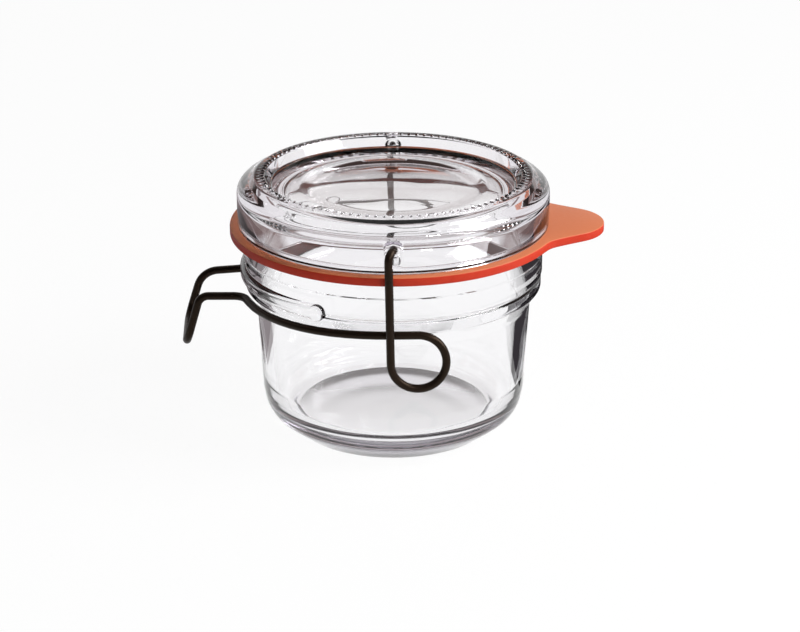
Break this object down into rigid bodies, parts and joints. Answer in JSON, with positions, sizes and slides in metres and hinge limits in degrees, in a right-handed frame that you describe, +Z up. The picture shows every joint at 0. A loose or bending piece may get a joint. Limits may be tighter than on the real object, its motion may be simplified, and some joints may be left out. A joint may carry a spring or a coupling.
{
  "type": "preserving jar",
  "caption": "Clear glass preserving jar with a beaded glass lid, orange rubber ring with a pull tab, and a swinging bronze wire bail.",
  "frame": {"origin": "middle of the base, on the surface the jar stands on", "axes": "+Z up along the jar's axis, +X towards the rubber ring's pull tab, -X towards the wire handle, the pivots of the wire on the Y axis"},
  "size_m": [0.119, 0.0968, 0.0745],
  "materials": {
    "jar_glass": "clear pressed glass",
    "lid_glass": "clear pressed glass",
    "rubber": "smooth matt orange rubber",
    "wire": "dark bronze drawn wire"
  },
  "bodies": {
    "jar": {"jar": "jar_glass", "lid": "lid_glass", "gasket": "rubber"},
    "bail": {"bail": "wire"}
  },
  "joints": [
    {"name": "bail_swing", "type": "hinge", "parent": "jar", "child": "bail", "pos_m": [0, 0, 0.0673], "axis": [0, 1, 0], "range_deg": [0, 180]}
  ]
}
